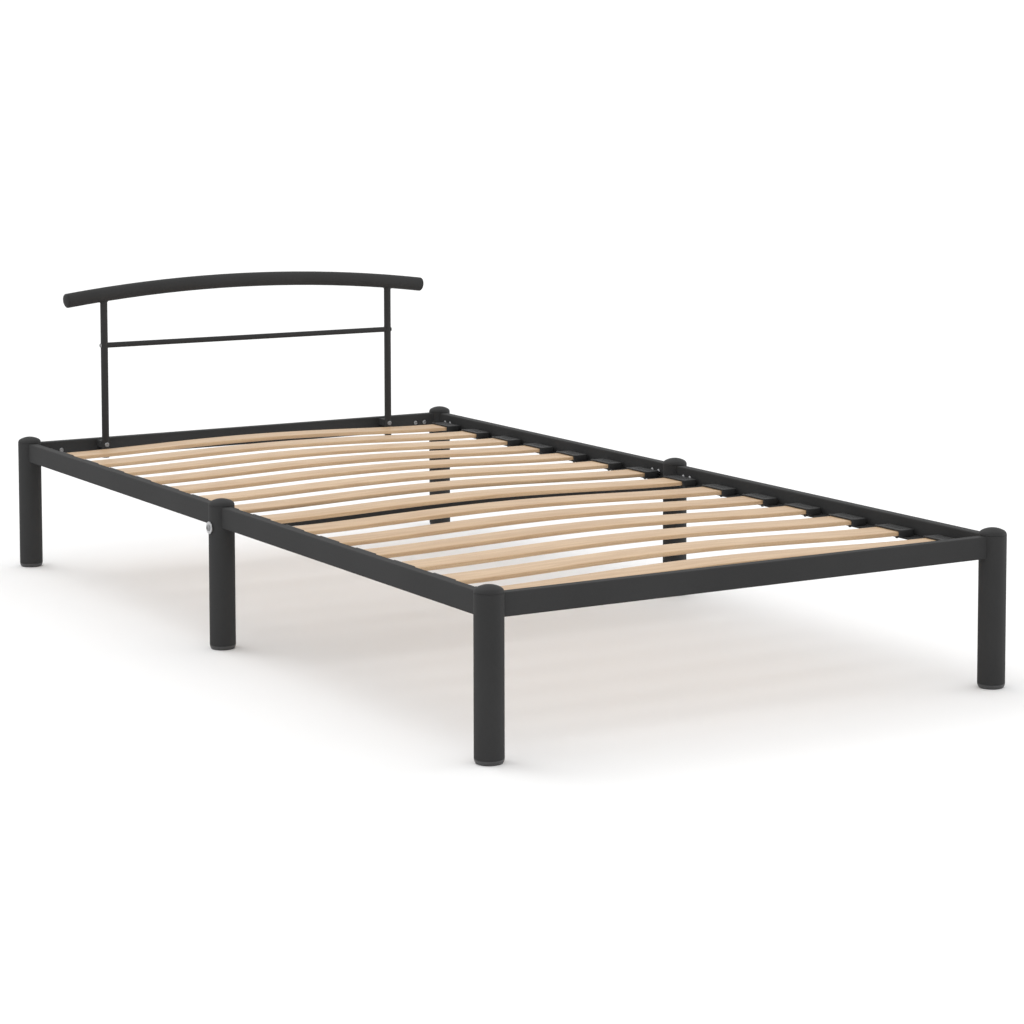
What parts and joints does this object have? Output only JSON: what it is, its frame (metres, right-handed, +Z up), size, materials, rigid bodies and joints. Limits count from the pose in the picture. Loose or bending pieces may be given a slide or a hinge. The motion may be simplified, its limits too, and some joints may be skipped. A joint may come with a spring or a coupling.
{
  "type": "bed frame",
  "caption": "Low single bed frame in dark powder-coated steel tube: round capped legs, rectangular rails, arched tube headboard and sprung wooden slats in plastic holders.",
  "frame": {"origin": "on the floor, under the centre of the bed", "axes": "+Z up, +Y towards the head end, +X to the right for someone who looks from the foot end to the head end"},
  "size_m": [1.102, 2.1, 0.6379],
  "materials": {
    "steel_coat": "fine-textured matt powder coat",
    "black_plastic": "moulded, slightly glossy",
    "zinc_plate": "bright zinc plate",
    "bolt_steel": "dull zinc plate",
    "slat_wood": "clear-coated beech veneer"
  },
  "bodies": {
    "root": {"leg_foot_left": "steel_coat", "leg_foot_right": "steel_coat", "leg_mid_left": "steel_coat", "leg_mid_right": "steel_coat", "leg_head_left": "steel_coat", "leg_head_right": "steel_coat", "cap_foot_left": "black_plastic", "cap_foot_right": "black_plastic", "cap_mid_left": "black_plastic", "cap_mid_right": "black_plastic", "cap_head_left": "black_plastic", "cap_head_right": "black_plastic", "glide_foot_left": "black_plastic", "glide_foot_right": "black_plastic", "glide_mid_left": "black_plastic", "glide_mid_right": "black_plastic", "glide_head_left": "black_plastic", "glide_head_right": "black_plastic", "side_rail_foot_left": "steel_coat", "side_rail_foot_right": "steel_coat", "side_rail_head_left": "steel_coat", "side_rail_head_right": "steel_coat", "head_rail": "steel_coat", "foot_rail": "steel_coat", "joint_stubs": "steel_coat", "joint_screws": "bolt_steel", "joint_nuts": "bolt_steel", "cross_beam": "steel_coat", "cross_beam_blocks": "steel_coat", "cross_beam_bolts": "bolt_steel", "cross_beam_washers": "zinc_plate", "headboard_arch": "steel_coat", "arch_plugs": "black_plastic", "upright_left": "steel_coat", "upright_right": "steel_coat", "upright_plugs": "black_plastic", "crossbar": "steel_coat", "crossbar_inserts": "bolt_steel", "crossbar_screws": "bolt_steel", "headboard_spacers": "black_plastic", "headboard_screws": "bolt_steel", "headboard_rivet_nuts": "bolt_steel", "ledges_left": "steel_coat", "ledges_right": "steel_coat", "slat_holders_left": "black_plastic", "slat_holders_right": "black_plastic", "slat_1": "slat_wood", "slat_2": "slat_wood", "slat_3": "slat_wood", "slat_4": "slat_wood", "slat_5": "slat_wood", "slat_6": "slat_wood", "slat_7": "slat_wood", "slat_8": "slat_wood", "slat_9": "slat_wood", "slat_10": "slat_wood", "slat_11": "slat_wood", "slat_12": "slat_wood", "slat_13": "slat_wood", "slat_14": "slat_wood"}
  },
  "joints": []
}
